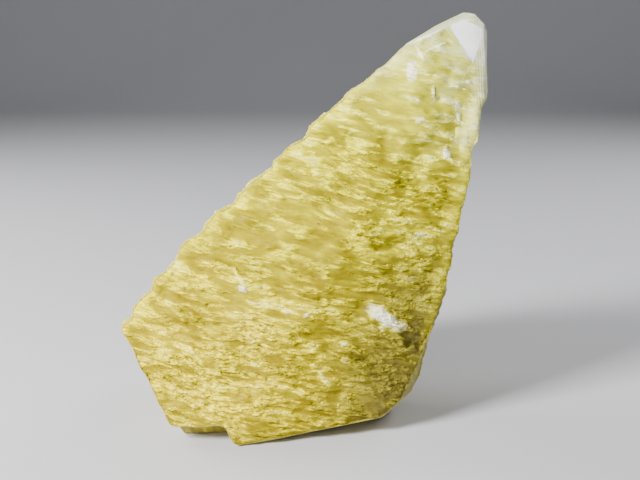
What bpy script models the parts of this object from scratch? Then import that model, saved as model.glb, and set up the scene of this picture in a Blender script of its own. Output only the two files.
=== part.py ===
"""A calcite crystal: one steep dog-tooth crystal, overgrown by small crystals that lie across its
faces like tiles, broken off along cleavage planes at its foot and back, and standing on that break.

The construction frame has its origin at the toe, the lowest point of the front ridge: X runs to
the right, Y to the back and Z up. The finished crystal is then moved so that the middle of its
bounding box's underside is at the origin.
"""

import math
import random

import bmesh
import bpy
from mathutils import Matrix, Vector

MM = 0.001
NODE_NAME = "calcite_crystal"

# The long axis, and the six growth faces round it, which come in pairs
LEAN = math.radians(28.9)  # of the long axis, to the right
TIP_FORWARD = math.radians(9.2)  # of the long axis, towards the front
FACE_TILT = math.radians(14.8)  # of every growth face, to the long axis
RIDGE_LENGTH = 140 * MM  # of the front ridge, from the toe to where the growth faces would meet
GROWTH_FACES = {  # name: (degrees round the long axis from the front, mm it stands proud)
    "front_left": (-12.1, 0),
    "front_right": (12.1, 0),
    "right": (109.5, 0),
    "back_right": (131.0, 0),
    "back_left": (-131.0, 0),
    "left": (-109.5, 0),
}
SHOULDER_FACES = {  # growth faces of a second, steeper set: (a point in mm, outward normal)
    "left_shoulder": ((-10, 10, 53.1), (-0.79, 0.30, 0.61)),
}
OVERGROWTH_LIMIT = 1.1 * MM  # how far the overgrown crystals can stand out from a growth face

# Small clean faces at the tip: (a point in mm, outward normal)
TIP_FACES = {
    "tip_top": ((50, 14, 102.4), (-0.39, -0.10, 0.92)),
    "tip_window": ((58.5, 11, 91), (0.12, -0.96, 0.25)),
    "tip_right": ((61.6, 14, 95), (0.95, -0.30, 0.08)),
    "tip_corner": ((60, 14, 104.9), (0.72, 0.10, 0.68)),
}

# The break at the foot and back: (a point in mm, outward normal)
BREAK_FACES = {
    "left_cleavage": ((-31.3, 0, 29.1), (-0.87, 0.10, -0.49)),
    "under_front": ((0, 0, 0), (0.194, -0.353, -0.915)),
    "right_low": ((47.5, 12, 20.9), (0.84, -0.45, -0.29)),
    "under_right": ((41, 8, 8.5), (0.66, -0.30, -0.69)),
    "back_break": ((20, 38, 0), (0.15, 0.85, -0.50)),
    "floor": ((0, 0, 0), (0, 0, -1)),
}
BLOCK_SIZE = 400 * MM
SPARE = 2 * MM  # left on the tip and the break until the last cuts

# Steps in the break: blocks that have broken out of its edges, with sides along the cleavage
CLEAVAGE_SIDES = ((0.92, 0.10, 0.38), (-0.25, 0.95, 0.19), (-0.36, -0.28, 0.89))
TOE_SIDES = ((0.99, 0.12, 0.03), (0.20, 0.97, -0.10), (-0.58, -0.25, 0.77))
STEP_BLOCKS = {  # name: (directions of its sides, the corner furthest in, sizes outwards), in mm
    "toe_notch": (TOE_SIDES, (-1.7, 9, 4.0), (-40, -60, -20)),
    "left_terrace": (CLEAVAGE_SIDES, (-17, 26, 28), (-30, 40, -40)),
    "left_step": (CLEAVAGE_SIDES, (-21, 15, 20), (-20, 40, -40)),
    "back_terrace": (CLEAVAGE_SIDES, (8, 41, 25), (40, 40, -50)),
    "back_step": (CLEAVAGE_SIDES, (30, 34, 14), (40, 40, -40)),
    "back_ledge": (CLEAVAGE_SIDES, (-6, 53, 44), (30, 40, 30)),
    "right_step": (CLEAVAGE_SIDES, (39, 28, 9), (40, 40, -30)),
}

# The overgrown crystals: each is a tile that thins out upwards and ends in a step at its lower edge
TILE_SPACING = 6.2 * MM
TILE_LENGTH = (10 * MM, 18 * MM)  # along the grain
TILE_WIDTH = (5.5 * MM, 9 * MM)  # across the grain
TILE_HEIGHT = (0.7 * MM, 1.5 * MM)
TILE_ROOT = 2.2 * MM  # how deep a tile reaches into the face
TILE_FLARE = 1.15  # how much wider its root is than its top
GRAIN_SLOPE = 20  # degrees that the grain falls to the right
CLEAN_TIP = 92 * MM  # height above the toe where the tiles end
TRIES = 4000
LEDGES = {  # large tiles on the front: (x and z of the middle; length, width, height), in mm
    "white_ledge": (37.5, 28.5, 15, 9, 2.4),
    "low_lobe": (35, 18, 26, 15, 2.6),
    "curved_ledge": (1.5, 42, 11, 6, 1.8),
    "streak_ledge": (23, 17, 8, 10, 1.8),
    "bright_ledge": (21, 69, 14, 7, 1.8),
    "tip_block": (44.5, 92, 8, 8, 1.5),
    "tip_step": (51, 83, 9, 7, 1.6),
}


def crystal_axes():
    """Unit vectors along the long axis, to the crystal's front and to its right."""
    right = Vector((math.cos(LEAN), 0, -math.sin(LEAN)))
    upright = Vector((math.sin(LEAN), 0, math.cos(LEAN)))
    forward = Vector((0, -1, 0))
    long_axis = upright * math.cos(TIP_FORWARD) + forward * math.sin(TIP_FORWARD)
    front = forward * math.cos(TIP_FORWARD) - upright * math.sin(TIP_FORWARD)
    return long_axis, front, right


LONG_AXIS, FRONT, RIGHT = crystal_axes()


def ridge_direction():
    """Up the front ridge, where the front pair of growth faces meets."""
    pair_spread = math.radians(GROWTH_FACES["front_right"][0])
    ridge_tilt = math.atan(math.tan(FACE_TILT) / math.cos(pair_spread))
    return LONG_AXIS * math.cos(ridge_tilt) - FRONT * math.sin(ridge_tilt)


APEX = ridge_direction() * RIDGE_LENGTH


def growth_normal(degrees_round):
    """The outward normal of a growth face."""
    angle = math.radians(degrees_round)
    sideways = FRONT * math.cos(angle) + RIGHT * math.sin(angle)
    return sideways * math.cos(FACE_TILT) + LONG_AXIS * math.sin(FACE_TILT)


def growth_planes(outset):
    planes = []
    for degrees_round, proud in GROWTH_FACES.values():
        normal = growth_normal(degrees_round)
        planes.append((APEX + normal * (proud * MM + outset), normal))
    return planes


def stated_planes(faces, outset=0):
    """Planes from a table of points in mm and normals."""
    planes = []
    for point, normal in faces.values():
        outward = Vector(normal).normalized()
        planes.append((Vector(point) * MM + outward * outset, outward))
    return planes


def body_planes():
    """The growth faces where they are, and the rest moved out of the way of the last cuts."""
    growth = growth_planes(0) + stated_planes(SHOULDER_FACES)
    return growth + stated_planes(TIP_FACES, SPARE) + stated_planes(BREAK_FACES, SPARE)


def envelope_planes():
    """The last cuts: the growth faces' furthest reach, the tip and the break."""
    growth = growth_planes(OVERGROWTH_LIMIT) + stated_planes(SHOULDER_FACES, OVERGROWTH_LIMIT)
    return growth + stated_planes(TIP_FACES) + stated_planes(BREAK_FACES)


def slice_off(bm, point, normal):
    """Cuts away what lies outside a plane, and closes the cut."""
    everything = bm.verts[:] + bm.edges[:] + bm.faces[:]
    cut = bmesh.ops.bisect_plane(
        bm, geom=everything, plane_co=point, plane_no=normal, clear_outer=True
    )
    rim = [e for e in cut["geom_cut"] if isinstance(e, bmesh.types.BMEdge)]
    bmesh.ops.contextual_create(bm, geom=rim)


def faceted_block(planes):
    """A big block cut down by the planes to a closed convex solid."""
    bm = bmesh.new()
    bmesh.ops.create_cube(bm, size=BLOCK_SIZE)
    for point, normal in planes:
        slice_off(bm, point, normal)
    bmesh.ops.recalc_face_normals(bm, faces=bm.faces)
    return bm


def add_object(name, bm, collection, helper=False):
    mesh = bpy.data.meshes.new(name)
    bm.to_mesh(mesh)
    bm.free()
    obj = bpy.data.objects.new(name, mesh)
    obj.hide_render = helper
    if helper:
        obj.display_type = "WIRE"
    collection.objects.link(obj)
    return obj


def hull(points):
    """A closed convex solid round the points."""
    bm = bmesh.new()
    verts = [bm.verts.new(point) for point in points]
    result = bmesh.ops.convex_hull(bm, input=verts)
    inside = [v for v in result["geom_interior"] if isinstance(v, bmesh.types.BMVert)]
    bmesh.ops.delete(bm, geom=inside, context="VERTS")
    bmesh.ops.recalc_face_normals(bm, faces=bm.faces)
    return bm


def step_block(directions, corner, sizes):
    """A block with slanting sides, from its inner corner outwards."""
    corner = Vector(corner) * MM
    sides = [Vector(side).normalized() * size * MM for side, size in zip(directions, sizes)]
    points = []
    for a in (0, 1):
        for b in (0, 1):
            for c in (0, 1):
                points.append(corner + sides[0] * a + sides[1] * b + sides[2] * c)
    return hull(points)


def grain_angle(point):
    """How far the grain falls to the right, in degrees: it levels out at the lower left."""
    low = min(max((42 * MM - point.z) / (30 * MM), 0), 1)
    left = min(max((6 * MM - point.x) / (20 * MM), 0), 1)
    return GRAIN_SLOPE - (GRAIN_SLOPE + 3) * low * left


def tile_frame(point, normal, turn):
    """Axes along the grain, up across it and outwards, at a point of a growth face."""
    level = Vector((0, 0, 1)).cross(normal).normalized()
    up = normal.cross(level)
    angle = math.radians(grain_angle(point) + turn)
    along = level * math.cos(angle) - up * math.sin(angle)
    across = up * math.cos(angle) + level * math.sin(angle)
    axes = Matrix((along, across, normal)).transposed().to_4x4()
    return Matrix.Translation(point) @ axes


def tile_points(length, width, height, rng):
    """A tile's corners, along the grain, up across it and outwards: a six-sided flat top that
    rises towards its lower edge, on sides that widen into the face."""
    skew = rng.uniform(-0.12, 0.12)
    outline = [
        (-0.50, rng.uniform(-0.15, 0.15)),
        (-0.20 + skew, 0.50),
        (0.30 + skew, 0.44),
        (0.50, rng.uniform(-0.2, 0.1)),
        (0.27, -0.50),
        (-0.27, rng.uniform(-0.50, -0.38)),
    ]
    points = []
    for along, across in outline:
        rise = height * (0.38 - across) / 0.88
        points.append((along * length, across * width, rise))
        points.append((along * length * TILE_FLARE, across * width * TILE_FLARE, -TILE_ROOT))
    return points


def scatter_points(bm, rng):
    """Seeded random points on the growth faces, no two closer than the spacing."""
    normals = [normal for _, normal in growth_planes(0) + stated_planes(SHOULDER_FACES)]
    triangles = []
    for face in bm.faces:
        if max(face.normal.dot(normal) for normal in normals) > 0.9999:
            corners = [v.co.copy() for v in face.verts]
            for i in range(1, len(corners) - 1):
                triangle = (corners[0], corners[i], corners[i + 1])
                area = (triangle[1] - triangle[0]).cross(triangle[2] - triangle[0]).length
                triangles.append((triangle, area, face.normal.copy()))
    areas = [area for _, area, _ in triangles]
    placed = []
    for _ in range(TRIES):
        triangle, _, normal = rng.choices(triangles, weights=areas)[0]
        a, b = sorted((rng.random(), rng.random()))
        point = triangle[0] * a + triangle[1] * (b - a) + triangle[2] * (1 - b)
        clear = all((point - other).length > TILE_SPACING for other, _ in placed)
        if clear and point.z < CLEAN_TIP:
            placed.append((point, normal))
    return placed


def add_tile(name, point, normal, size, turn, rng, collection):
    length, width, height = size
    frame = tile_frame(point, normal, turn)
    lift = Matrix.Rotation(rng.gauss(0, 0.05), 4, "Y")
    corners = [frame @ lift @ Vector(p) for p in tile_points(length, width, height, rng)]
    add_object(name, hull(corners), collection, helper=True)


def add_tiles(body_bm, collection):
    rng = random.Random(7)
    for index, (point, normal) in enumerate(scatter_points(body_bm, rng)):
        size = [rng.uniform(*span) for span in (TILE_LENGTH, TILE_WIDTH, TILE_HEIGHT)]
        add_tile(f"tile_{index}", point, normal, size, rng.gauss(0, 7), rng, collection)


def front_point(x, z):
    """The point of the front, at this x and z, and the outward normal there."""
    front_planes = growth_planes(0)[:2]
    found = []
    for origin, normal in front_planes:
        y = origin.y - ((x - origin.x) * normal.x + (z - origin.z) * normal.z) / normal.y
        found.append((y, normal))
    y, normal = max(found, key=lambda hit: hit[0])
    return Vector((x, y, z)), normal


def add_ledges(collection):
    rng = random.Random(3)
    for name, (x, z, length, width, height) in LEDGES.items():
        point, normal = front_point(x * MM, z * MM)
        size = (length * MM, width * MM, height * MM)
        add_tile(name, point, normal, size, rng.gauss(0, 7), rng, collection)


def add_steps(collection):
    for name, (directions, corner, sizes) in STEP_BLOCKS.items():
        add_object(name, step_block(directions, corner, sizes), collection, helper=True)


def add_boolean(obj, operation, operand):
    modifier = obj.modifiers.new(operation.lower(), "BOOLEAN")
    modifier.operation = operation
    modifier.solver = "EXACT"
    if isinstance(operand, bpy.types.Collection):
        modifier.operand_type = "COLLECTION"
        modifier.collection = operand
    else:
        modifier.object = operand


def calcite_material():
    material = bpy.data.materials.new("honey_calcite")
    material.use_nodes = True
    shader = material.node_tree.nodes["Principled BSDF"]
    shader.inputs["Base Color"].default_value = (0.62, 0.50, 0.16, 1)
    shader.inputs["Roughness"].default_value = 0.45
    shader.inputs["IOR"].default_value = 1.6
    return material


def new_collection(name):
    collection = bpy.data.collections.new(name)
    bpy.context.scene.collection.children.link(collection)
    return collection


def connected_faces(seed, seen):
    """The faces joined to the seed through shared edges, added to those already seen."""
    island = []
    waiting = [seed]
    seen.add(seed)
    while waiting:
        face = waiting.pop()
        island.append(face)
        for edge in face.edges:
            for neighbour in edge.link_faces:
                if neighbour not in seen:
                    seen.add(neighbour)
                    waiting.append(neighbour)
    return island


def keep_outer_shell(mesh):
    """Leaves out the tiny sealed voids between tiles that meet across an edge."""
    bm = bmesh.new()
    bm.from_mesh(mesh)
    seen = set()
    islands = [connected_faces(face, seen) for face in bm.faces if face not in seen]
    outer = max(islands, key=len)
    for island in islands:
        if island is not outer:
            bmesh.ops.delete(bm, geom=island, context="FACES")
    bm.to_mesh(mesh)
    bm.free()


def centre_of_underside(mesh):
    low = Vector([min(v.co[axis] for v in mesh.vertices) for axis in range(3)])
    high = Vector([max(v.co[axis] for v in mesh.vertices) for axis in range(3)])
    return Vector(((low.x + high.x) / 2, (low.y + high.y) / 2, low.z))


def apply_and_centre(obj):
    """Applies the modifiers and puts the origin in the middle of the underside of the box."""
    depsgraph = bpy.context.evaluated_depsgraph_get()
    mesh = bpy.data.meshes.new_from_object(obj.evaluated_get(depsgraph))
    mesh.name = obj.name
    obj.modifiers.clear()
    obj.data = mesh
    keep_outer_shell(mesh)
    mesh.transform(Matrix.Translation(-centre_of_underside(mesh)))


def build():
    for obj in list(bpy.data.objects):
        bpy.data.objects.remove(obj)
    scene = bpy.context.scene.collection
    tiles = new_collection("tiles")
    steps = new_collection("cleavage_steps")
    body_bm = faceted_block(body_planes())
    add_tiles(body_bm, tiles)
    add_ledges(tiles)
    add_steps(steps)
    envelope_bm = faceted_block(envelope_planes())
    envelope = add_object("envelope", envelope_bm, scene, helper=True)

    crystal = add_object(NODE_NAME, body_bm, scene)
    crystal.data.materials.append(calcite_material())
    add_boolean(crystal, "UNION", tiles)
    add_boolean(crystal, "INTERSECT", envelope)
    add_boolean(crystal, "DIFFERENCE", steps)
    apply_and_centre(crystal)
    for helper in [*tiles.objects, *steps.objects, envelope]:
        bpy.data.objects.remove(helper)


build()
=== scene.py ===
"""Looks for the calcite crystal: a leaning dog-tooth crystal of honey-yellow calcite, overgrown by
small crystals, clear at its tip and cleaved at its foot.

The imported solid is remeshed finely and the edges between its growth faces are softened. Little
crystals are raised on those faces and cleavage plates on the break, and the same patterns then
colour it. Lengths are in millimetres, along and up across the grain or from the toe, except in the
studio and where MM makes them metres.
"""

import math

import bmesh
import bpy
import numpy as np
from mathutils import Matrix, Vector


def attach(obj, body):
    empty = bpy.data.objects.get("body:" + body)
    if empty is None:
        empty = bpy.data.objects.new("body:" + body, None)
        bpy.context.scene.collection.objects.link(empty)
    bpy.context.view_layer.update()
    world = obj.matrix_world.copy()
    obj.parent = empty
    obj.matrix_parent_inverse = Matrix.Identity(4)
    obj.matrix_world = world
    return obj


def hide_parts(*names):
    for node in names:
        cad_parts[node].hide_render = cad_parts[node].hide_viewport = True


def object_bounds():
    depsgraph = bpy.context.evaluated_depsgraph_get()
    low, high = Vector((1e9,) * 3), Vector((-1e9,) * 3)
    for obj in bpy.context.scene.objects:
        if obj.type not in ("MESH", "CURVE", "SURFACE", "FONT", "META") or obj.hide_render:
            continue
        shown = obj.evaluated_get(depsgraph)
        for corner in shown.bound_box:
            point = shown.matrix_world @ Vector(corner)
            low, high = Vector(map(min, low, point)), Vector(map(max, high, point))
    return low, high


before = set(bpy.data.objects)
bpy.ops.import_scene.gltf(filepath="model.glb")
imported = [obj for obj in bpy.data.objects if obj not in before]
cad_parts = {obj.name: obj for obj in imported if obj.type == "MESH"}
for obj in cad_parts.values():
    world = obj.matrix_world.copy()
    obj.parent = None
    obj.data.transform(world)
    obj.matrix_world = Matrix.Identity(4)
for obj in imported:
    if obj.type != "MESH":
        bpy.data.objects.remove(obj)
cad_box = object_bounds()

MM = 0.001
NODE = "calcite_crystal"
SLOT = "honey_calcite"

# Camera: the image is 640 by 480, and one pixel at the toe is a quarter of a millimetre
PICTURE_WIDTH = 640
PICTURE_HEIGHT = 480
PIXEL_SIZE = 0.25 * MM
LENS = 60  # mm, on a sensor 36 mm wide
SENSOR = 36
LOOKING_DOWN = math.radians(12)
TOE_PIXEL = (235.5, 447.5)

# Studio: each lamp's place in metres, its size in metres and its power in watts
LAMPS = {
    "key": ((-0.36, -0.34, 0.34), 0.16, 10.0),
    "side": ((-0.45, 0.25, 0.36), 0.3, 3.0),
    "back": ((0.45, 0.32, 0.42), 0.4, 2.6),
    "fill": ((-0.1, -0.8, 0.3), 0.5, 1.8),
}
LAMPS_AIM = (0, 0, 50 * MM)
SKY = (0.9, 0.95, 1.0, 1)
SKY_STRENGTH = 0.12
BOARD = (0.52, 0.52, 0.54, 1)
BOARD_ROUGHNESS = 0.8
FLOOR_HALF = 3.0  # metres, half the floor's width and the height of the wall
FLOOR_DEPTH = 0.9  # metres behind the crystal where the floor begins to sweep up
SWEEP = 0.6  # metres, the sweep's radius
SWEEP_STEPS = 12

# Which pair a face belongs to: the front one, those at the back right and left, or the break
FRONT_PAIR, RIGHT_PAIR, LEFT_PAIR, BREAK = range(4)

# The crystal's long axis and its growth faces, from the toe
LEAN = math.radians(28.9)
TIP_FORWARD = math.radians(9.2)
FACE_TILT = math.radians(14.8)
RIDGE_LENGTH = 140  # of the front ridge, to where the growth faces would meet
GROWTH_FACES = (-12.1, 12.1, 109.5, 131.0, -131.0, -109.5)  # degrees round from the front
FACE_PAIRS = (FRONT_PAIR, FRONT_PAIR, RIGHT_PAIR, RIGHT_PAIR, LEFT_PAIR, LEFT_PAIR)
PAIR_TURNS = (0, 120.25, -120.25)  # degrees round from the front
SHOULDER = ((-10, 10, 53.1), (-0.79, 0.30, 0.61), LEFT_PAIR)  # a point, its normal and its pair
GRAIN_TURN = math.radians(8.9)  # from square across the long axis
CLEAVAGE = ((0.92, 0.10, 0.38), (-0.25, 0.95, 0.19), (-0.36, -0.28, 0.89))  # the break's directions
APART = 300  # along the grain between the patterns of one side and the next

# What tells a growth face from the break
BLUR_PASSES = 12  # over the normals
FACING_COST = 12  # how far off a plane a point counts as when it faces square to it
FACING = (0.72, 0.86)  # cosines to the plane's normal, from not at all to fully
REACH = (-3.2, 1.3)  # from a growth plane, where its overgrowth lies
REACH_FADE = (0.6, 0.4)  # below and above that
BROKEN = 0.3  # a point that is less of a growth face than this belongs to the break
BREAK_DEPTH = (2.5, 4.5)  # inside every growth plane
RIM = (1.0, 5.0)  # from the edge to the next pair of faces, where the faces are calmed and painted paler as a glow along the rims
CLEAR_HEIGHTS = (74, 115)  # along the long axis, from cloudy to clear
AMBER_HEIGHTS = (0, 80)  # along the long axis, from amber to honey

# Single features of the front: (along the grain and up across it from the toe; length, width;
# degrees turned from the grain; how far it stands out; paleness; how smooth)
# A hollow's paleness lies on its lower side alone, so the darkened hollows carry painted shade there; the
# palest features are painted glints where chips catch the light
SPOTS = {
    "upper_scoop": (16.2, 96.2, 8.0, 4.2, 12, -0.7, -0.4, 1),
    "second_scoop": (10.1, 84.0, 5.5, 3.0, 10, -0.7, -0.4, 1),
    "middle_scoop": (-10.7, 51.7, 13, 4.5, 14, -0.5, -0.1, 1),
    "centre_scoop": (3.5, 54, 12, 3.0, 10, -0.4, -0.1, 0.8),
    "low_scoop": (9.8, 35.2, 8.5, 3.0, 5, -0.4, 0.3, 0.8),
    "left_scoop": (-20.5, 22.0, 8, 3.0, 18, -0.5, -0.2, 1),
    "foot_scoop": (-1.0, 14.5, 8, 3.0, 18, -0.4, -0.4, 0.6),
    "lobe_hollow": (34.3, 39.6, 9, 4.5, 0, -1.3, -0.25, 0.4),
    "lobe_smooth": (29.0, 21.0, 10, 4.0, -8, -0.4, -0.3, 1),
    "white_ledge": (24.6, 42.4, 11, 5.4, -22, 0.25, 0.7, 0),
    "white_ledge_heart": (22.6, 43.4, 7.0, 3.2, -14, 0.2, 0.84, 0),
    "white_ledge_end": (27.2, 42.0, 7.5, 3.2, -4, 0.2, 0.76, 0),
    "white_streak": (15.2, 23.4, 6.4, 1.3, -38, 0.4, 0.74, 0.4),
    "bright_ridge": (-13.2, 40.3, 6.0, 1.3, -40, 0.5, 0.74, 0.6),
    "bright_ridge_foot": (-11.5, 38.0, 2.6, 1.8, 20, 0.4, 0.9, 0.8),
    "white_facet": (9.2, 102.5, 5.6, 2.6, -72, 0.3, 1.1, 1),
    "clear_facet": (26.9, 91.6, 6.8, 3.2, -60, 0.3, 0.5, 1),
    "clear_facet_chip": (24.6, 86.6, 3.2, 2.0, -60, 0.4, 1.2, 0.4),
    "tip_hollow": (12.9, 110.8, 9.0, 4.0, 42, -0.5, -0.15, 0.6),
    "step_a": (10.2, 112.2, 8.0, 0.9, 46, 0.4, 1.1, 0.4),
    "step_b": (12.6, 109.6, 6.0, 0.6, 42, 0.3, 0.9, 0.4),
    "step_c": (9.9, 106.9, 3.6, 0.9, -42, 0.3, 1.1, 0.4),
    "green_low": (22.5, 101.0, 4.0, 2.6, 20, -0.4, -0.4, 0.8),
    "chip_a": (15.8, 99.5, 3.0, 0.8, -66, 0.2, 0.85, 0.4),
    "chip_b": (23.4, 104.6, 1.7, 1.2, 10, 0.2, 1.1, 0.4),
    "chip_c": (15.0, 91.9, 2.4, 1.2, 40, 0.2, 0.85, 0.4),
    "chip_d": (23.3, 97.2, 5.0, 1.3, -56, 0.2, 0.8, 0.4),
    "fleck_a": (-3.5, 79.9, 2.6, 1.6, 40, 0.3, 0.74, 0.5),
    "fleck_b": (-5.5, 73.8, 4.4, 2.8, 20, 0.2, 0.74, 0.3),
    "fleck_c": (1.8, 81.0, 4.0, 2.4, 10, 0.2, 0.74, 0.3),
    "fleck_d": (16.7, 33.2, 1.6, 1.0, 20, 0.2, 0.8, 0.5),
    "fleck_e": (18.1, 29.9, 2.0, 1.4, 0, 0.3, 0.74, 0.5),
    "pale_speck": (5.3, 37.5, 1.6, 1.0, 30, 0.2, 0.76, 0.5),
    "pale_middle": (5.7, 39.5, 15, 5.0, 18, 0.1, 0.35, 0),
    "pale_right": (19.0, 58.4, 8, 4.0, 20, 0.2, 0.45, 0),
    "pale_patch": (17.5, 64.0, 9, 5.0, 20, 0.1, 0.35, 0),
    "pale_edge": (25.4, 65.5, 10, 4.5, 30, 0.2, 0.45, 0),
}
SPOT_EDGE = (0.65, 1.1)  # of its half size, from full to nothing
GLINT_PALENESS = 0.75  # features at least this pale are painted glints where chips catch the light, drawn with a crisp edge
UNDER_GLINT = 0.3  # how much of a painted glint's paleness the points themselves carry

# Stains of the front: (along the grain and up across it, length, width, degrees, strength)
STAINS = {
    "speck_a": (0.6, 59.6, 1.0, 0.6, 0, 0.9),
    "speck_b": (11.5, 64.8, 0.7, 0.6, 0, 0.7),
    "speck_c": (8.8, 57.9, 0.8, 0.7, 0, 0.9),
    "speck_d": (-20.4, 57.0, 0.7, 0.6, 0, 0.7),
    "speck_e": (25.3, 77.5, 0.8, 0.7, 0, 0.8),
    "orange_blot": (-25.8, 7.7, 2.4, 1.4, 0, 0.5),
    "brown_patch": (-5.1, 29.0, 10, 8, 0, 0.16),
    "brown_low": (2.0, 23.0, 14, 8, 0, 0.10),
}

# Wide patches of the front: (along the grain and up across it; length, width; how sugary; how
# shaded)
ZONES = {
    "lower_left": (-10.0, 13.0, 40, 26, 0.45, 0),
    "low_middle": (6.0, 25.0, 26, 14, 0.25, 0),
    "brown_patch": (-5.1, 29.0, 13, 11, 0.6, 0),
    "heart": (-5.0, 57.0, 34, 20, -0.40, 0),
    "second_heart": (8.0, 48.0, 24, 10, -0.2, 0),
    "blocky_top": (10.0, 98.0, 36, 36, -0.55, 0),
    "right_lobe": (38.0, 32.0, 50, 84, 0.25, 0.62),
    "lobe_recess": (38.5, 44.0, 14, 18, 0, 0.25),
    "right_edge": (40.0, 75.0, 26, 44, 0, 0.20),
    "foot": (0.0, 2.0, 16, 10, 0, 0.15),
}
ZONE_EDGE = (0.3, 1.2)  # of its half size, from full to nothing
MOST_SHADE = 0.67

# The right lobe's narrow side, round the corner from the front
LOBE_SIDE_DEPTH = (0, 14)  # in from the front faces
LOBE_SIDE_TOP = (45, 70)  # along the long axis
LOBE_SIDE_START = (15, 35)  # to the right of the toe
LOBE_SIDE_UNDER = (0.4, 0.65)  # facing down
LOBE_SIDE_GROWTH = 0.85
LOBE_SIDE_SHADE = 0.6
# how much of the narrow side's paleness is taken away, as painted shade
LOBE_SIDE_DULLED = 0.8

# The cut faces of the tip: a point from the toe and its normal
TIP_FACES = {
    "window": ((58.5, 11, 91), (0.12, -0.96, 0.25)),
    "top": ((50, 14, 102.4), (-0.39, -0.10, 0.92)),
    "right": ((61.6, 14, 95), (0.95, -0.30, 0.08)),
    "corner": ((60, 14, 104.9), (0.72, 0.10, 0.68)),
}
ON_CUT = (-0.45, -0.15)  # from the face, where a point begins to belong to it
NEAR_CUT = (-5, -0.3)
RIGHT_CUT_HEIGHTS = (103, 110)  # along the long axis
EDGING_DEPTH = (-4, -1)  # from the right face, the clear strip beside it
EDGING_HEIGHTS = (78, 90)
EDGING_PALENESS = 0.25
WIDEST_RIM = 9  # what is further in than this from the right face counts as this far

# The part of the tip's window painted white as a highlight where it catches the light, by its corners
WINDOW = ((14.0, 115.9), (22.8, 109.0), (22.6, 116.5), (20.1, 121.5), (15.8, 119.6))
WINDOW_FADE = 1.5  # outside it
NOT_IN_WINDOW = -9  # what a point of any other side counts as

# The patterns' lengths and widths along and across the grain
PATCHES = (7.5, 1.9)  # where small grains take the place of smooth hollows
TERRACE_PATCHES = (6, 3)  # where terraces show
BLOCKS = (5.0, 1.7)
GRAINS = (2.3, 0.80)
SLABS = (6.5, 3.4)  # of the clear tip
CRUMBS = (0.9, 0.45)
STREAKS = (2.8, 0.95)
LINES = (3.0, 0.40)
RIPPLES = (1.5, 0.50)
SOFT_CLOUDS = (6, 1.8)
PLATES = (7, 5)  # of the break
SMALL_PLATES = (2.2, 1.4)
RULING = (22, 0.8)
GRIT = (0.5, 0.3)
SWELLS = (11, 5)  # of the whole surface
DRIFT = (16, 10)  # of the colour's slow changes
SHADES = (13, 8)  # of the brightness's slow changes
TERRACE = 2.1  # from one terrace to the next
STRIPE = 0.55  # from one clear stripe to the next, in from the right cut face
STRIPES_END = (1.6, 2.6)  # in from that face

# How the grain wanders: each wave's length and width, and how far it goes in all
WANDER_ALONG = ((22, 22, 4), (4, 3, 0.5))
WANDER_ACROSS = ((30, 18, 3), (6, 3, 0.4))
GRAIN_DRIFT = 0.10  # how far it climbs for each length along it
RAGGED = ((1.6, 1.2, 0.6), (1.2, 1.6, 0.5))  # waves like these, for the edges of the marks
WAVY = 0.12  # how wavy a single feature's outline is, as a share of its size
WAVES = (2.3, 1.9)  # radians for each length along and across

# A terrace slopes up over most of its step and falls over the rest, with a crease at its foot that is
# darkened with painted shade
TERRACE_SLOPE = 0.8
CREASE_WIDTHS = (0.14, 0.06)  # above the foot and below it
TERRACE_WANDER = (8, 5, 2.5)  # a wave's length and width, and how many steps it goes
TERRACE_EDGE = (0.40, 0.60)  # of their patches, from no terraces to full ones
GRAINY_EDGE = (0.40, 0.58)  # of the grainy patches, from smooth to grainy
SUGAR_SPREADS = 0.22  # how far a sugary zone widens those patches

# The little crystals' two sets: how each leans, and which part of the pattern it takes
CRYSTAL_SETS = ((0.35, 0), (-0.5, 7.3))
MIDDLE_HEIGHT = 0.4  # of a little crystal, which leaves the surface where it was

# How far each pattern lifts the surface; the plates are on the break
LIFT = {
    "terraces": 0.5,
    "streaks": 0.4,
    "blocks": 0.35,
    "grainy_blocks": 0.50,  # more, where the surface is grainy
    "grains": 0.55,
    "slabs": 1.0,
    "all": -0.25,
    "swells": 1.6,
    "plates": -0.35,
    "small_plates": 0.12,
    "break": 0.5,
}

# How far each pattern moves the colour from deep yellow, at 0, towards cream, at 1
CREAM = {
    "everywhere": 0.12,
    "grainy": 0.34,
    "weave": 0.38,
    "lit_tops": 0.2,
    "lit_upward": 0.06,
    "pale": 0.5,
    "cut": 0.25,
    "drift": 0.4,
    "clouds": 0.5,
    "clear": 0.22,
    "stripes": 0.3,
    "slabs": 0.34,
}

# How much each pattern lightens and darkens the colour
BRIGHT = {
    "weave": 0.4,
    "crumbs": 0.08,
    "grainy_crumbs": 0.4,
    "blocks": 0.16,
    "crease_shade": 0.2,
    "stripes": 0.12,
    "clouds": 0.25,
    "shades": 0.75,
    "plates": 0.16,
    "ruling": 0.5,
}

# How high the bumps too fine for the mesh are, in millimetres
BUMPS = {
    "weave": 0.20,
    "crumbs": 0.16,
    "grit": 0.06,
    "stripes": 0.05,
    "ruling": 0.25,
}

FINE_MESH = 0.42 * MM
MELT_PASSES = 14
TRIANGLES = 186000
SHARP_EDGE = math.radians(26)
WELD = 0.0001 * MM

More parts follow.
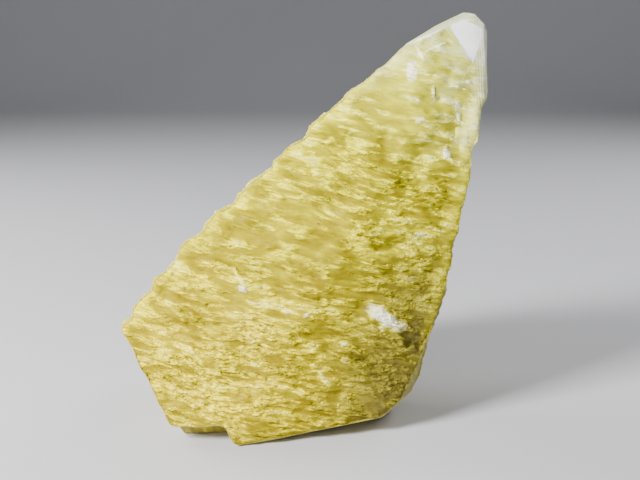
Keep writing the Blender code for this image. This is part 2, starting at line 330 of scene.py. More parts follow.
# Colours, from the deepest yellow to cream
HONEY = (
    (0.0, (0.26, 0.205, 0.0005)),
    (0.18, (0.35, 0.300, 0.0005)),
    (0.36, (0.48, 0.425, 0.0005)),
    (0.55, (0.78, 0.705, 0.004)),
    (0.78, (0.94, 0.89, 0.19)),
    (1.0, (0.95, 0.93, 0.66)),
)
GLASSY = (
    (0.0, (0.50, 0.47, 0.004)),
    (0.25, (0.66, 0.65, 0.06)),
    (0.50, (0.79, 0.82, 0.27)),
    (0.75, (0.88, 0.91, 0.50)),
    (1.0, (0.95, 0.95, 0.86)),
)
SHADED_HONEY = (0.27, 0.22, 0.08, 1)
SIDE_CREAM = (0.85, 0.80, 0.50, 1)
STAIN_BROWN = (0.22, 0.12, 0.02, 1)
# white of the painted glints, where chips catch the light
GLINT_WHITE = (0.95, 0.95, 0.80, 1)
# white of the tip window's painted highlight
WINDOW_HIGHLIGHT = (0.95, 0.95, 0.92, 1)
AMBER = (1.0, 0.91, 1.0)  # what the honey colour is multiplied by at the foot
PALER_SIDES = 0.14  # how much of a cream veil lies over the sides and the break
SHADE_TINT = 0.4  # how much of the shaded colour a shaded place takes

ROUGHNESS = 0.38
REFRACTION = 1.6
SPECULAR = 0.05
GLOW = 0.25  # subsurface scattering, and its reach for each colour
GLOW_COLOURS = (1.0, 0.75, 0.2)
GLOW_REACH = 0.6 * MM
CLEAREST = 0.3  # the tip's transmission


class Field:
    """A node's output, which can be worked with in plain arithmetic."""

    def __init__(self, tree, socket):
        self.tree = tree
        self.socket = socket

    def maths(self, operation, *others):
        node = self.tree.nodes.new("ShaderNodeMath")
        node.operation = operation
        for place, item in enumerate((self, *others)):
            plug(self.tree, node.inputs[place], item)
        return Field(self.tree, node.outputs[0])

    def __add__(self, other):
        return self.maths("ADD", other)

    def __sub__(self, other):
        return self.maths("SUBTRACT", other)

    def __mul__(self, other):
        return self.maths("MULTIPLY", other)

    def __truediv__(self, other):
        return self.maths("DIVIDE", other)

    __radd__ = __add__

    def __rsub__(self, other):
        return (self * -1) + other

    def fraction(self):
        return self.maths("FRACT")

    def least(self, other):
        return self.maths("MINIMUM", other)

    def most(self, other):
        return self.maths("MAXIMUM", other)

    def rise(self, start, end):
        """0 up to start, 1 from end on, and eased between them."""
        node = self.tree.nodes.new("ShaderNodeMapRange")
        node.interpolation_type = "SMOOTHSTEP"
        plug(self.tree, node.inputs["Value"], self)
        plug(self.tree, node.inputs["From Min"], start)
        plug(self.tree, node.inputs["From Max"], end)
        return Field(self.tree, node.outputs["Result"])


def plug(tree, socket, item):
    if isinstance(item, Field):
        item = item.socket
    if isinstance(item, bpy.types.NodeSocket):
        tree.links.new(item, socket)
    else:
        socket.default_value = item


def new_node(tree, kind, inputs=None, **settings):
    """A node with its settings made, and its inputs set or linked."""
    node = tree.nodes.new(kind)
    for name, value in settings.items():
        setattr(node, name, value)
    for name, value in (inputs or {}).items():
        plug(tree, node.inputs[name], value)
    return node


def pair_of(tree, u, v):
    return new_node(tree, "ShaderNodeCombineXYZ", {"X": u, "Y": v}).outputs[0]


def parts_of(tree, vector):
    node = new_node(tree, "ShaderNodeSeparateXYZ", {0: vector})
    return [Field(tree, socket) for socket in node.outputs]


def vector_maths(tree, operation, first, second):
    other = "Scale" if operation == "SCALE" else 1
    node = new_node(tree, "ShaderNodeVectorMath", {0: first, other: second}, operation=operation)
    return node.outputs["Value" if operation == "DOT_PRODUCT" else "Vector"]


def noise(tree, u, v, length, width, detail=1, offset=0):
    """Smooth noise from 0 to 1, stretched to this length and width."""
    place = pair_of(tree, u / length + offset, v / width + offset)
    node = new_node(
        tree, "ShaderNodeTexNoise", {"Vector": place, "Scale": 1, "Detail": detail},
        noise_dimensions="2D",
    )
    return Field(tree, node.outputs[0])


def sway(tree, u, v, length, width, most, detail=1, offset=0):
    """Smooth noise that goes half of the most to either side of 0."""
    return (noise(tree, u, v, length, width, detail, offset) - 0.5) * most


def cells(tree, place):
    return new_node(
        tree, "ShaderNodeTexVoronoi", {"Vector": place, "Scale": 1},
        voronoi_dimensions="2D", distance="CHEBYCHEV",
    )


def plates(tree, u, v, length, width, offset=0):
    """A random number for each of the blocky cells of this length and width."""
    place = pair_of(tree, u / length + offset, v / width + offset)
    return parts_of(tree, cells(tree, place).outputs["Color"])[0]


def little_crystals(tree, u, v, length, width, offset):
    """Two sets of little pyramids grown through each other: their height, from 0 to 1, and a
    random number for each."""
    tallest = tint = None
    for skew, shift in CRYSTAL_SETS:
        place = pair_of(tree, (u + v * skew) / length + offset + shift, v / width + offset)
        node = cells(tree, place)
        height = (1 - Field(tree, node.outputs["Distance"]) * 2).most(0)
        chance = parts_of(tree, node.outputs["Color"])[0]
        if tallest is None:
            tallest, tint = height, chance
        else:
            tint = tint + (chance - tint) * height.maths("GREATER_THAN", tallest)
            tallest = tallest.most(height)
    return tallest, tint


def bent(tree, u, v):
    """The grain, wandering gently."""
    wide, small = WANDER_ALONG
    along = u + sway(tree, u, v, *wide, offset=3) + sway(tree, u, v, *small, offset=9)
    wide, small = WANDER_ACROSS
    across = v - u * GRAIN_DRIFT + sway(tree, u, v, *wide, offset=5)
    return along, across + sway(tree, u, v, *small, offset=7)


def terraces(tree, u, v):
    """The terraces' height, from -0.5 to 0.5, and the crease at the foot of each."""
    length, width, wander = TERRACE_WANDER
    bend = noise(tree, u, v, length, width, detail=2, offset=13) * wander
    step = (v / TERRACE + bend).fraction()
    strength = noise(tree, u, v, *TERRACE_PATCHES, offset=17).rise(*TERRACE_EDGE)
    terrace = (step / TERRACE_SLOPE).least((1 - step) / (1 - TERRACE_SLOPE)) - 0.5
    above, below = CREASE_WIDTHS
    crease = 1 - (step / above).least((1 - step) / below)
    return terrace * strength, crease.most(0) * strength


def growth_relief(tree, u, v, sugar, clear):
    """The overgrown faces' relief: its height and the patterns that make it."""
    u, v = bent(tree, u, v)
    patches = noise(tree, u, v, *PATCHES, detail=2, offset=21)
    grainy = (patches + (sugar - 0.5) * SUGAR_SPREADS).rise(*GRAINY_EDGE)
    terrace, crease = terraces(tree, u, v)
    blocks, tint = little_crystals(tree, u, v, *BLOCKS, 31)
    grains, _ = little_crystals(tree, u, v, *GRAINS, 35)
    slabs, slab_tint = little_crystals(tree, u, v, *SLABS, 55)
    streaks = sway(tree, u, v, *STREAKS, LIFT["streaks"], detail=2, offset=31)
    height = terrace * LIFT["terraces"] + streaks
    height = height + (blocks - MIDDLE_HEIGHT) * (LIFT["blocks"] + grainy * LIFT["grainy_blocks"])
    height = height + (grains - MIDDLE_HEIGHT) * grainy * LIFT["grains"]
    height = height * (1 - clear * 0.65) * (0.6 + sugar * 0.5)
    height = height + (slabs - MIDDLE_HEIGHT) * clear * LIFT["slabs"]
    return {
        "u": u,
        "v": v,
        "height": height + LIFT["all"],
        "grainy": grainy,
        "crease": crease,
        "top": blocks,
        "tint": tint,
        "slab_tint": slab_tint,
    }


def break_relief(tree, u, v):
    """The break's relief: cleavage plates that step in by parts of a millimetre."""
    large = plates(tree, u, v, *PLATES)
    small = plates(tree, u, v, *SMALL_PLATES, offset=4)
    return large * LIFT["plates"] + (small - 1) * LIFT["small_plates"]


def crystal_axes():
    """Unit vectors along the long axis, to the crystal's front and to its right."""
    right = Vector((math.cos(LEAN), 0, -math.sin(LEAN)))
    upright = Vector((math.sin(LEAN), 0, math.cos(LEAN)))
    forward = Vector((0, -1, 0))
    long_axis = upright * math.cos(TIP_FORWARD) + forward * math.sin(TIP_FORWARD)
    front = forward * math.cos(TIP_FORWARD) - upright * math.sin(TIP_FORWARD)
    return long_axis, front, right


LONG_AXIS, FRONT, RIGHT = crystal_axes()


def growth_normal(degrees_round):
    angle = math.radians(degrees_round)
    sideways = FRONT * math.cos(angle) + RIGHT * math.sin(angle)
    return sideways * math.cos(FACE_TILT) + LONG_AXIS * math.sin(FACE_TILT)


def apex():
    """Where the growth faces would meet, from the toe."""
    ridge_tilt = math.atan(math.tan(FACE_TILT) / math.cos(math.radians(GROWTH_FACES[1])))
    return (LONG_AXIS * math.cos(ridge_tilt) - FRONT * math.sin(ridge_tilt)) * RIDGE_LENGTH


def growth_planes():
    """Each growth plane's point from the toe, its outward normal and its pair."""
    planes = [(apex(), growth_normal(turn), pair) for turn, pair in zip(GROWTH_FACES, FACE_PAIRS)]
    point, normal, pair = SHOULDER
    planes.append((Vector(point), Vector(normal).normalized(), pair))
    return planes


def pair_axes(turn):
    """Along the grain, up across it and outwards, for a pair of growth faces."""
    normal = growth_normal(turn)
    up = (LONG_AXIS - normal * normal.dot(LONG_AXIS)).normalized()
    level = up.cross(normal)
    along = level * math.cos(GRAIN_TURN) + up * math.sin(GRAIN_TURN)
    across = up * math.cos(GRAIN_TURN) - level * math.sin(GRAIN_TURN)
    return along, across, normal


def toe():
    """The crystal's lowest point at the front."""
    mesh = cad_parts[NODE].data
    resting = [v.co for v in mesh.vertices if v.co.z < 0.01 * MM]
    return min(resting, key=lambda co: co.y).copy()


def merged_copy(source, name):
    mesh = source.data.copy()
    mesh.name = name
    mesh.transform(source.matrix_world)
    bm = bmesh.new()
    bm.from_mesh(mesh)
    bmesh.ops.remove_doubles(bm, verts=bm.verts, dist=WELD)
    bm.to_mesh(mesh)
    bm.free()
    mesh.materials.clear()
    obj = bpy.data.objects.new(name, mesh)
    bpy.context.scene.collection.objects.link(obj)
    return obj


def applied(obj):
    """Makes what the modifiers give the object's own mesh, and removes them."""
    depsgraph = bpy.context.evaluated_depsgraph_get()
    mesh = bpy.data.meshes.new_from_object(obj.evaluated_get(depsgraph))
    obj.modifiers.clear()
    obj.data = mesh


def remesh(obj):
    modifier = obj.modifiers.new("even_faces", "REMESH")
    modifier.mode = "VOXEL"
    modifier.voxel_size = FINE_MESH
    applied(obj)


def thin_out(obj):
    modifier = obj.modifiers.new("fewer_faces", "DECIMATE")
    modifier.ratio = TRIANGLES / (2 * len(obj.data.polygons))
    modifier.use_collapse_triangulate = True
    applied(obj)


def connected_parts(bm):
    """The mesh's points, in a list for each part that hangs together."""
    seen = set()
    parts = []
    for start in bm.verts:
        if start.index in seen:
            continue
        seen.add(start.index)
        part = [start]
        for vert in part:
            for edge in vert.link_edges:
                other = edge.other_vert(vert)
                if other.index not in seen:
                    seen.add(other.index)
                    part.append(other)
        parts.append(part)
    return parts


def drop_crumbs(obj):
    """Keeps the largest connected part alone."""
    bm = bmesh.new()
    bm.from_mesh(obj.data)
    parts = connected_parts(bm)
    largest = max(parts, key=len)
    for part in parts:
        if part is not largest:
            bmesh.ops.delete(bm, geom=part, context="VERTS")
    bm.to_mesh(obj.data)
    bm.free()


def columns(items, name, size):
    found = np.empty(len(items) * size)
    items.foreach_get(name, found)
    return found.reshape(-1, size)


def place_points(mesh, places):
    mesh.vertices.foreach_set("co", places.ravel())
    mesh.update()


def keep_in_box(mesh, low, high):
    place_points(mesh, np.clip(columns(mesh.vertices, "co", 3), low, high))


def edge_ends(mesh):
    ends = np.empty(len(mesh.edges) * 2, dtype=int)
    mesh.edges.foreach_get("vertices", ends)
    return ends.reshape(-1, 2)


def add_neighbours(total, ends, amounts):
    """Adds to each point what its neighbours have."""
    for axis in range(3):
        total[:, axis] += np.bincount(ends[:, 0], amounts[ends[:, 1], axis], len(amounts))
        total[:, axis] += np.bincount(ends[:, 1], amounts[ends[:, 0], axis], len(amounts))


def blurred_normals(mesh):
    normals = columns(mesh.vertices, "normal", 3)
    ends = edge_ends(mesh)
    for _ in range(BLUR_PASSES):
        total = normals.copy()
        add_neighbours(total, ends, normals)
        normals = total / np.linalg.norm(total, axis=1, keepdims=True)
    return normals


def melt(mesh, weight):
    """Softens the surface where the weight is 1."""
    places = columns(mesh.vertices, "co", 3)
    ends = edge_ends(mesh)
    count = np.bincount(ends.ravel(), minlength=len(places))[:, None]
    for _ in range(MELT_PASSES):
        total = np.zeros_like(places)
        add_neighbours(total, ends, places)
        places += (total / count - places) * weight[:, None]
    place_points(mesh, places)


def eased(amounts, start, end):
    """0 up to start, 1 from end on, and eased between them."""
    part = np.clip((amounts - start) / (end - start), 0, 1)
    return part * part * (3 - 2 * part)


def store(mesh, name, amounts):
    """Keeps a number or a vector for each point."""
    vectors = amounts.ndim == 2
    kind = "FLOAT_VECTOR" if vectors else "FLOAT"
    found = mesh.attributes.get(name) or mesh.attributes.new(name, kind, "POINT")
    found.data.foreach_set("vector" if vectors else "value", amounts.ravel())


def stored(mesh, name):
    found = np.empty(len(mesh.vertices))
    mesh.attributes[name].data.foreach_get("value", found)
    return found


def growth_of(gaps, normals, planes):
    """How much each point is a growth face, and the pair that it is nearest to."""
    facing = np.stack([normals @ np.array(normal) for _, normal, _ in planes], 1)
    nearest = (np.abs(gaps) + FACING_COST * (1 - facing)).argmin(1)
    rows = np.arange(len(gaps))
    gap = gaps[rows, nearest]
    growth = eased(facing[rows, nearest], *FACING)
    above = eased(gap, REACH[0] - REACH_FADE[0], REACH[0])
    growth *= above * (1 - eased(gap, REACH[1], REACH[1] + REACH_FADE[1]))
    return growth, np.array([pair for *_, pair in planes])[nearest]


def grain_of(places, normals, growth, pairs):
    """The grain's coordinates and the way out at each point, and its pair or the break."""
    grain = np.zeros_like(places)
    outward = normals.copy()
    for index, turn in enumerate(PAIR_TURNS):
        along, across, normal = pair_axes(turn)
        here = pairs == index
        grain[here, 0] = places[here] @ np.array(along) + APART * index
        grain[here, 1] = places[here] @ np.array(across)
        outward[here] = np.array(normal)
    broken = growth < BROKEN
    sides = np.array(CLEAVAGE)
    side = np.abs(normals @ sides.T).argmax(1)
    for index in range(3):
        here = broken & (side == index)
        grain[here, 0] = places[here] @ sides[(index + 1) % 3] + APART * (BREAK + index)
        grain[here, 1] = places[here] @ sides[(index + 2) % 3]
    outward = outward * growth[:, None] + normals * (1 - growth[:, None])
    outward /= np.linalg.norm(outward, axis=1, keepdims=True)
    return grain, outward, np.where(broken, BREAK, pairs)


def edge_distance(gaps, pairs, planes):
    """How far each point is from the nearest growth face of another pair."""
    of_plane = np.array([pair for *_, pair in planes])
    gaps = np.where(pairs[:, None] == of_plane[None, :], np.inf, np.abs(gaps))
    gaps[pairs == RIGHT_PAIR, -1] = np.inf
    return gaps.min(1)


def spots(grain, pairs):
    """How far the single features stand out, how pale they are and how smooth, at each point."""
    rise = np.zeros(len(grain))
    pale = np.zeros(len(grain))
    calm = np.zeros(len(grain))
    front = pairs == FRONT_PAIR
    for u, v, length, width, turn, height, paleness, smooth in SPOTS.values():
        angle = math.radians(turn)
        along = (grain[:, 0] - u) * math.cos(angle) + (grain[:, 1] - v) * math.sin(angle)
        above = (grain[:, 1] - v) * math.cos(angle) - (grain[:, 0] - u) * math.sin(angle)
        along += WAVY * length * np.sin(grain[:, 1] * WAVES[0] + u)
        above += WAVY * width * np.sin(grain[:, 0] * WAVES[1] + v)
        reach = (np.abs(along / (length / 2)) ** 3 + np.abs(above / (width / 2)) ** 3) ** (1 / 3)
        mask = (1 - eased(reach, *SPOT_EDGE)) * front
        rise += height * mask * (1 - 0.5 * np.minimum(reach, 1) ** 2)
        # painted shade: a hollow's paleness lies on its lower side alone, so the hollows below 0 are
        # darker there
        low_side = np.clip(0.5 - above / width, 0, 1) if height < 0 else 1
        pale += paleness * mask * low_side * (UNDER_GLINT if paleness >= GLINT_PALENESS else 1)
        calm = np.maximum(calm, smooth * mask)
    return rise, pale, calm


def zones(grain, pairs):
    """How far small grains take the place of broad faces, and how shaded it is, at each point."""
    sugar = np.full(len(grain), 0.5)
    shade = np.zeros(len(grain))
    for u, v, length, width, sugary, shaded in ZONES.values():
        reach = np.hypot((grain[:, 0] - u) / (length / 2), (grain[:, 1] - v) / (width / 2))
        mask = (1 - eased(reach, *ZONE_EDGE)) * (pairs == FRONT_PAIR)
        sugar += sugary * mask
        shade += shaded * mask
    return sugar, shade


def window_sides():
    """Each side of the window: its two ends and its length."""
    for here, following in zip(WINDOW, WINDOW[1:] + WINDOW[:1]):
        yield here, following, math.dist(here, following)


def inside_window(grain, pairs):
    """How far inside the window's painted highlight each point is."""
    gaps = []
    for (u, v), (next_u, next_v), length in window_sides():
        gap = (next_u - u) * (grain[:, 1] - v) - (next_v - v) * (grain[:, 0] - u)
        gaps.append(gap / length)
    return np.where(pairs == FRONT_PAIR, np.minimum.reduce(gaps), NOT_IN_WINDOW)


def cut_faces(places, window, height):
    """How far each point belongs to the tip's cut faces, how near it is to them, its distance in
    from the right one, and how far it is on the clear strip there."""
    cut = np.zeros(len(places))
    near = np.zeros(len(places))
    for name, (point, normal) in TIP_FACES.items():
        gap = (places - np.array(point)) @ np.array(Vector(normal).normalized())
        on = eased(gap, *ON_CUT)
        if name == "window":
            on = on * eased(window, -WINDOW_FADE, 0)
        elif name == "right":
            on = on * eased(height, *RIGHT_CUT_HEIGHTS)
            rim = np.clip(-gap, 0, WIDEST_RIM)
            near = np.maximum(near, eased(gap, *NEAR_CUT) * eased(height, *RIGHT_CUT_HEIGHTS))
            edging = eased(gap, *EDGING_DEPTH) * eased(height, *EDGING_HEIGHTS)
        else:
            near = np.maximum(near, eased(gap, *NEAR_CUT))
        cut = np.maximum(cut, on)
    return cut, near, rim, edging


def lobe_side(places, normals, gaps, height):
    """How far each point lies on the right lobe's narrow side."""
    beside = (1 - eased(-gaps[:, :2].max(1), *LOBE_SIDE_DEPTH)) * (1 - eased(height, *LOBE_SIDE_TOP))
    return beside * (eased(places[:, 0], *LOBE_SIDE_START) * (1 - eased(-normals[:, 2], *LOBE_SIDE_UNDER)))


def survey(mesh, origin):
    """Marks every point with the grain's coordinates, the way out, and how much it is a growth
    face or a clear one."""
    places = (columns(mesh.vertices, "co", 3) - np.array(origin)) / MM
    normals = blurred_normals(mesh)
    planes = growth_planes()
    gaps = np.stack([(places - np.array(point)) @ np.array(normal) for point, normal, _ in planes], 1)
    height = places @ np.array(LONG_AXIS)
    growth, pairs = growth_of(gaps, normals, planes)
    grain, outward, pairs = grain_of(places, normals, growth, pairs)
    under = eased(-gaps.max(1), *BREAK_DEPTH)
    rim = 1 - eased(edge_distance(gaps, pairs, planes), *RIM)
    cut, near, rim_distance, edging = cut_faces(places, inside_window(grain, pairs), height)
    beside = lobe_side(places, normals, gaps, height)
    growth *= 1 - cut
    growth = np.maximum(growth, LOBE_SIDE_GROWTH * beside * (pairs == BREAK))
    rise, pale, calm = spots(grain, pairs)
    # painted glow: the faces are paler near their edges to the next pair, as light shining through the
    # rims
    pale += 0.5 * rim * (1 - under)
    pale += EDGING_PALENESS * edging
    # painted shade: the lobe's narrow side loses most of its paleness
    pale *= 1 - LOBE_SIDE_DULLED * beside * (1 - growth)
    calm = np.maximum(calm, 0.6 * rim)
    calm = np.maximum(calm, edging)
    sugar, shade = zones(grain, pairs)
    shade = np.where(pairs == FRONT_PAIR, shade, LOBE_SIDE_SHADE * beside)
    marks = {
        "grain": grain,
        "outward": outward,
        "growth": growth,
        "broken": (1 - growth) * (1 - cut) * under,
        "clear": eased(height, *CLEAR_HEIGHTS),
        "low": 1 - eased(height, *AMBER_HEIGHTS),
        "aside": np.where(pairs == FRONT_PAIR, 0.0, 1.0),
        "rise": rise * growth,
        "pale": pale,
        "calm": calm,
        "sugar": sugar,
        "shade": np.minimum(shade, MOST_SHADE),
        "cut": cut,
        "near_cut": near,
        "soft": np.maximum(growth, 1 - under) * (1 - near),
        "rim": rim_distance,
    }
    for name, amounts in marks.items():
        store(mesh, name, amounts)


def named(tree, name, vector=False):
    """A mesh attribute, in a geometry tree."""
    kind = "FLOAT_VECTOR" if vector else "FLOAT"
    node = new_node(tree, "GeometryNodeInputNamedAttribute", {"Name": name}, data_type=kind)
    return Field(tree, node.outputs["Attribute"])


def relief_height(tree):
    """How far the surface moves out at each point."""
    u, v, _ = parts_of(tree, named(tree, "grain", vector=True))
    rough = (1 - named(tree, "clear").rise(0.8, 1) * 0.5) * (1 - named(tree, "near_cut") * 0.8)
    relief = growth_relief(tree, u, v, named(tree, "sugar"), named(tree, "clear"))["height"]
    relief = relief * rough * (1 - named(tree, "calm") * 0.7)
    relief = relief + sway(tree, u, v, *SWELLS, LIFT["swells"], detail=2, offset=71) * rough
    height = relief * named(tree, "growth") + named(tree, "rise")
    return height + break_relief(tree, u, v) * named(tree, "broken") * LIFT["break"]


def relief_tree(low, high):
    """Raises the relief from the surface, and keeps it inside the box."""
    tree = bpy.data.node_groups.new("overgrowth", "GeometryNodeTree")
    tree.interface.new_socket("Crystal", in_out="INPUT", socket_type="NodeSocketGeometry")
    tree.interface.new_socket("Relief", in_out="INPUT", socket_type="NodeSocketFloat")
    tree.interface.new_socket("Material", in_out="INPUT", socket_type="NodeSocketMaterial")
    tree.interface.new_socket("Crystal", in_out="OUTPUT", socket_type="NodeSocketGeometry")
    given = new_node(tree, "NodeGroupInput").outputs
    height = relief_height(tree) * given["Relief"]
    move = vector_maths(tree, "SCALE", named(tree, "outward", vector=True), height)
    moved = new_node(tree, "GeometryNodeSetPosition", {"Geometry": given["Crystal"], "Offset": move})
    place = new_node(tree, "GeometryNodeInputPosition").outputs[0]
    inside = vector_maths(tree, "MINIMUM", vector_maths(tree, "MAXIMUM", place, low), high)
    kept = new_node(
        tree, "GeometryNodeSetPosition", {"Geometry": moved.outputs[0], "Position": inside}
    )
    whole = new_node(tree, "GeometryNodeRealizeInstances", {"Geometry": kept.outputs[0]})
    dressed = new_node(
        tree, "GeometryNodeSetMaterial", {"Geometry": whole.outputs[0], "Material": given["Material"]}
    )
    out = new_node(tree, "NodeGroupOutput")
    tree.links.new(dressed.outputs[0], out.inputs[0])
    return tree


def set_inputs(modifier, settings):
    """Sets a modifier's inputs by their sockets' identifiers."""
    for item in modifier.node_group.interface.items_tree:
        if item.item_type == "SOCKET" and item.in_out == "INPUT" and item.name in settings:
            modifier[item.identifier] = settings[item.name]


def attribute(tree, name):
    """A mesh attribute, in a material."""
    return Field(tree, new_node(tree, "ShaderNodeAttribute", attribute_name=name).outputs["Fac"])


def ramp_of(tree, value, stops):
    """A colour ramp. Its two ends are there already, and the stops between them are added."""
    node = new_node(tree, "ShaderNodeValToRGB", {0: value})
    elements = node.color_ramp.elements
    for index, (place, colour) in enumerate((stops[0], stops[-1], *stops[1:-1])):
        stop = elements[index] if index < 2 else elements.new(place)
        stop.position = place
        stop.color = (*colour, 1)
    return node.outputs[0]


def blend(tree, share, first, second):
    node = new_node(tree, "ShaderNodeMix", data_type="RGBA")
    plug(tree, node.inputs[0], share)
    plug(tree, node.inputs[6], first)
    plug(tree, node.inputs[7], second)
    return node.outputs[2]


def marked(tree, u, v, marks, start, end):
    """How far each point is inside any of these ragged ovals."""
    ragged_u = u + sway(tree, u, v, *RAGGED[0], offset=63)
    ragged_v = v + sway(tree, ragged_u, v, *RAGGED[1], offset=67)
    total = None
    for middle_u, middle_v, length, width, turn, strength in marks:
        angle = math.radians(turn)
        off_u, off_v = ragged_u - middle_u, ragged_v - middle_v
        along = (off_u * math.cos(angle) + off_v * math.sin(angle)) / (length / 2)
        above = (off_v * math.cos(angle) - off_u * math.sin(angle)) / (width / 2)
        along, above = along * along, above * above
        mark = (1 - (along * along + above * above).rise(start, end)) * strength
        total = mark if total is None else total.most(mark)
    return total


def in_window(u, v):
    """1 inside the window's painted highlight and 0 outside it."""
    inside = None
    for (here_u, here_v), (next_u, next_v), length in window_sides():
        along_u = (next_u - here_u) / length
        along_v = (next_v - here_v) / length
        gap = (v - here_v) * along_u - (u - here_u) * along_v
        inside = gap if inside is None else inside.least(gap)
    return inside.rise(-0.1, 0.2)


def painted_glints(tree, u, v):
    """How far each point is on a painted glint, a white feature where a chip catches the light."""
    marks = []
    for middle_u, middle_v, length, width, turn, _, paleness, _ in SPOTS.values():
        if paleness >= GLINT_PALENESS:
            marks.append((middle_u, middle_v, length, width, turn, min(paleness, 1)))
    return marked(tree, u, v, marks, 0.02, 1.5)


class Surface:
    """What the parts of the material share: the marks on each point, and the patterns there."""

    def __init__(self, tree):
        grain = new_node(tree, "ShaderNodeAttribute", attribute_name="grain")
        self.u, self.v, _ = parts_of(tree, grain.outputs["Vector"])
        self.sugar = attribute(tree, "sugar")
        self.clear = attribute(tree, "clear")
        self.pale = attribute(tree, "pale")
        self.cut = attribute(tree, "cut")
        self.broken = attribute(tree, "broken")
        self.window = in_window(self.u, self.v)
        self.glint = painted_glints(tree, self.u, self.v)
        self.relief = growth_relief(tree, self.u, self.v, self.sugar, self.clear)
        self.fine = (1 - attribute(tree, "calm") * 0.8) * (1 - self.cut)
        self.fine = self.fine * (attribute(tree, "growth") * 0.75 + 0.25)
        self.grainy = self.relief["grainy"] * self.fine
        self.lively = 0.5 + self.sugar * 0.6
        self.add_patterns(tree, self.relief["u"], self.relief["v"])
        self.ruling = noise(tree, self.u, self.v, *RULING, offset=27) - 0.5
        rim = attribute(tree, "rim")
        stripe = (rim / STRIPE + noise(tree, self.u, self.v, 9, 9, offset=15)).fraction().rise(0.2, 0.8)
        self.stripe = (stripe - 0.5) * (1 - rim.rise(*STRIPES_END)) * self.clear.rise(0.3, 0.7)

    def add_patterns(self, tree, u, v):
        """The finest patterns, which follow the wandering grain."""
        lines = noise(tree, u, v, *LINES, detail=2, offset=41)
        ripples = noise(tree, u, v, *RIPPLES, detail=2, offset=45)
        self.weave = lines + (ripples - lines) * self.sugar.rise(0.5, 0.9)
        self.crumbs, self.crumb_tint = little_crystals(tree, u, v, *CRUMBS, 80)
        self.clouds = noise(tree, u, v, *SOFT_CLOUDS, detail=3, offset=91) - 0.5


def creaminess(tree, on):
    """Where each point lies between the deepest yellow and cream."""
    normal = new_node(tree, "ShaderNodeNewGeometry").outputs["True Normal"]
    # painted highlight: faces that look up the long axis are made paler, as where light from above falls
    lit_upward = Field(tree, vector_maths(tree, "DOT_PRODUCT", normal, LONG_AXIS)).rise(0.25, 0.8)
    woven = (on.weave - 0.5) * CREAM["weave"] * on.lively
    # painted highlight and shade: the little crystals are paler at their tops and deeper yellow at their
    # feet
    lit_tops = (on.relief["top"] - MIDDLE_HEIGHT) * CREAM["lit_tops"]
    cream = CREAM["everywhere"] + on.grainy * (woven + lit_tops + CREAM["grainy"])
    cream = cream + lit_upward * CREAM["lit_upward"]
    cream = cream + on.pale * CREAM["pale"] * (1 + (on.weave - 0.5) * on.fine)
    cream = cream + on.cut * CREAM["cut"]
    cream = cream + sway(tree, on.u, on.v, *DRIFT, CREAM["drift"], offset=61)
    cream = cream + on.clouds * (CREAM["clouds"] - on.clear * 0.15)
    cream = cream + on.clear * CREAM["clear"] + on.stripe * CREAM["stripes"]
    return cream + (on.relief["slab_tint"] - 0.5) * CREAM["slabs"] * on.clear


def brightness(tree, on):
    """How much lighter or darker than its colour each point is, round 1."""
    woven = (on.weave - 0.5) * (on.grainy + BRIGHT["weave"])
    crumbly = (on.crumb_tint - 0.5) * (on.grainy * BRIGHT["grainy_crumbs"] + BRIGHT["crumbs"])
    bright = 1 + (woven + crumbly) * on.lively
    bright = bright + (on.relief["tint"] - 0.5) * BRIGHT["blocks"]
    # painted shade: the crease at each terrace's foot is darkened
    bright = bright - on.relief["crease"] * BRIGHT["crease_shade"] * on.fine
    bright = bright + on.stripe * BRIGHT["stripes"]
    wide = on.clouds * BRIGHT["clouds"] + sway(tree, on.u, on.v, *SHADES, BRIGHT["shades"], offset=33)
    bright = bright + wide * (1 - on.clear * 0.6)
    steps = (plates(tree, on.u, on.v, *PLATES) - 0.5) * BRIGHT["plates"]
    return bright + (steps + on.ruling * BRIGHT["ruling"]) * on.broken


def body_colour(tree, on):
    """Honey yellow, more amber at the foot and glassy at the tip, darker in the shaded places."""
    cream = creaminess(tree, on)
    honey = ramp_of(tree, cream, HONEY)
    amber = vector_maths(tree, "MULTIPLY", honey, AMBER)
    colour = blend(tree, attribute(tree, "low"), honey, amber)
    colour = blend(tree, on.clear, colour, ramp_of(tree, cream, GLASSY))
    shade = attribute(tree, "shade") * (1 - on.pale.most(on.glint).least(1))
    colour = vector_maths(tree, "SCALE", colour, brightness(tree, on) * (1 - shade))
    return blend(tree, shade * SHADE_TINT, colour, SHADED_HONEY)


def marked_colour(tree, on, colour):
    """The colour with the sides' veil, the stains, the painted glints and the window's painted highlight
    over it.
    """
    colour = blend(tree, attribute(tree, "aside") * PALER_SIDES, colour, SIDE_CREAM)
    stain = marked(tree, on.u, on.v, STAINS.values(), 0.1, 1.5)
    colour = blend(tree, stain, colour, STAIN_BROWN)
    broken_up = (on.weave * 1.1 + on.crumb_tint * 0.5 + on.glint * 0.15).rise(0.5, 1.3)
    # painted glints: the palest features are painted white where chips catch the light
    colour = blend(tree, on.glint * broken_up, colour, GLINT_WHITE)
    # painted highlight: the tip's window is painted white where it catches the light
    return blend(tree, on.window, colour, WINDOW_HIGHLIGHT)


def bumps_of(tree, on):
    """The relief too fine for the mesh."""
    grit = noise(tree, on.u, on.v, *GRIT, detail=2, offset=51)
    bumps = on.weave * BUMPS["weave"] + on.crumbs * BUMPS["crumbs"]
    bumps = bumps * (on.grainy * 0.85 + 0.15) * on.lively
    bumps = bumps + grit * on.grainy * BUMPS["grit"] + on.stripe * BUMPS["stripes"]
    return bumps + on.ruling * BUMPS["ruling"] * on.broken


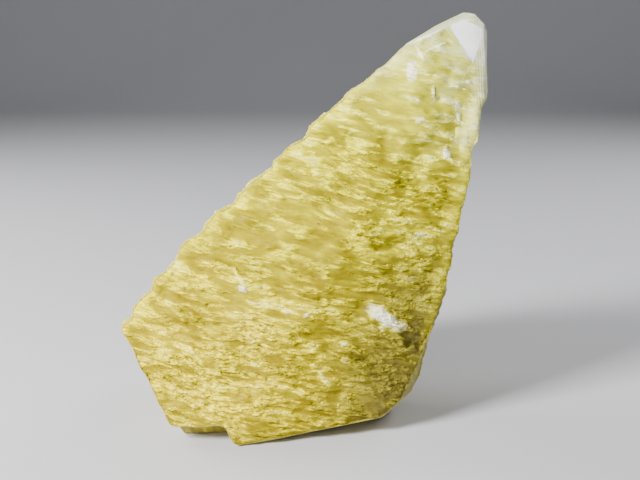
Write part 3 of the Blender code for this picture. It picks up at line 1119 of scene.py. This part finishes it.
def calcite():
    material = bpy.data.materials.new(SLOT)
    material.use_nodes = True
    tree = material.node_tree
    shader = tree.nodes["Principled BSDF"]
    on = Surface(tree)
    tree.links.new(marked_colour(tree, on, body_colour(tree, on)), shader.inputs["Base Color"])
    bump = new_node(
        tree, "ShaderNodeBump", {"Height": bumps_of(tree, on), "Distance": MM, "Strength": 1.0}
    )
    tree.links.new(bump.outputs[0], shader.inputs["Normal"])
    see_through = on.clear.rise(0.55, 1) * CLEAREST * (1 - on.window)
    see_through = see_through * (1 - on.pale.rise(0.4, 0.9)) * (1 - on.glint)
    plug(tree, shader.inputs["Transmission Weight"], see_through)
    shader.inputs["Roughness"].default_value = ROUGHNESS
    shader.inputs["IOR"].default_value = REFRACTION
    shader.inputs["Specular IOR Level"].default_value = SPECULAR
    shader.inputs["Subsurface Weight"].default_value = GLOW
    shader.inputs["Subsurface Radius"].default_value = GLOW_COLOURS
    shader.inputs["Subsurface Scale"].default_value = GLOW_REACH
    return material


def grow_crystal():
    crystal = merged_copy(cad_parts[NODE], "grown_crystal")
    remesh(crystal)
    origin = toe()
    survey(crystal.data, origin)
    melt(crystal.data, stored(crystal.data, "soft"))
    survey(crystal.data, origin)
    modifier = crystal.modifiers.new("relief", "NODES")
    modifier.node_group = relief_tree(*cad_box)
    set_inputs(modifier, {"Relief": MM, "Material": calcite()})
    applied(crystal)
    thin_out(crystal)
    drop_crumbs(crystal)
    keep_in_box(crystal.data, *cad_box)
    crystal.data.shade_smooth()
    crystal.data.set_sharp_from_angle(angle=SHARP_EDGE)
    return crystal


def add_camera():
    data = bpy.data.cameras.new("camera")
    data.lens = LENS
    data.sensor_width = SENSOR
    camera = bpy.data.objects.new("camera", data)
    bpy.context.scene.collection.objects.link(camera)
    distance = LENS / SENSOR * PICTURE_WIDTH * PIXEL_SIZE
    right = (TOE_PIXEL[0] - PICTURE_WIDTH / 2) * PIXEL_SIZE
    up = (PICTURE_HEIGHT / 2 - TOE_PIXEL[1]) * PIXEL_SIZE
    turn = Matrix.Rotation(math.radians(90) - LOOKING_DOWN, 4, "X")
    camera.matrix_world = Matrix.Translation(toe()) @ turn @ Matrix.Translation((-right, -up, distance))
    bpy.context.scene.camera = camera


def add_lamp(name, place, size, power):
    data = bpy.data.lights.new(name, "AREA")
    data.size = size
    data.energy = power
    lamp = bpy.data.objects.new(name, data)
    bpy.context.scene.collection.objects.link(lamp)
    lamp.location = place
    aim = Vector(LAMPS_AIM) - Vector(place)
    lamp.rotation_euler = aim.to_track_quat("-Z", "Y").to_euler()


def floor_mesh():
    """A floor that sweeps up behind into a wall."""
    line = [(-FLOOR_HALF, 0.0)]
    for step in range(SWEEP_STEPS + 1):
        angle = math.radians(90) * step / SWEEP_STEPS
        line.append((FLOOR_DEPTH + SWEEP * math.sin(angle), SWEEP * (1 - math.cos(angle))))
    line.append((FLOOR_DEPTH + SWEEP, FLOOR_HALF))
    verts = [(side * FLOOR_HALF, y, z) for y, z in line for side in (-1, 1)]
    faces = [(2 * i, 2 * i + 1, 2 * i + 3, 2 * i + 2) for i in range(len(line) - 1)]
    mesh = bpy.data.meshes.new("floor")
    mesh.from_pydata(verts, [], faces)
    mesh.shade_smooth()
    return mesh


def pale_board():
    material = bpy.data.materials.new("pale_board")
    material.use_nodes = True
    shader = material.node_tree.nodes["Principled BSDF"]
    shader.inputs["Base Color"].default_value = BOARD
    shader.inputs["Roughness"].default_value = BOARD_ROUGHNESS
    return material


def add_stage():
    floor = bpy.data.objects.new("floor", floor_mesh())
    bpy.context.scene.collection.objects.link(floor)
    floor.data.materials.append(pale_board())
    world = bpy.data.worlds.new("studio")
    world.use_nodes = True
    sky = world.node_tree.nodes["Background"]
    sky.inputs["Color"].default_value = SKY
    sky.inputs["Strength"].default_value = SKY_STRENGTH
    bpy.context.scene.world = world
    for name, (place, size, power) in LAMPS.items():
        add_lamp(name, place, size, power)


crystal = grow_crystal()
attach(crystal, "root")
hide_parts(NODE)
add_camera()
add_stage()
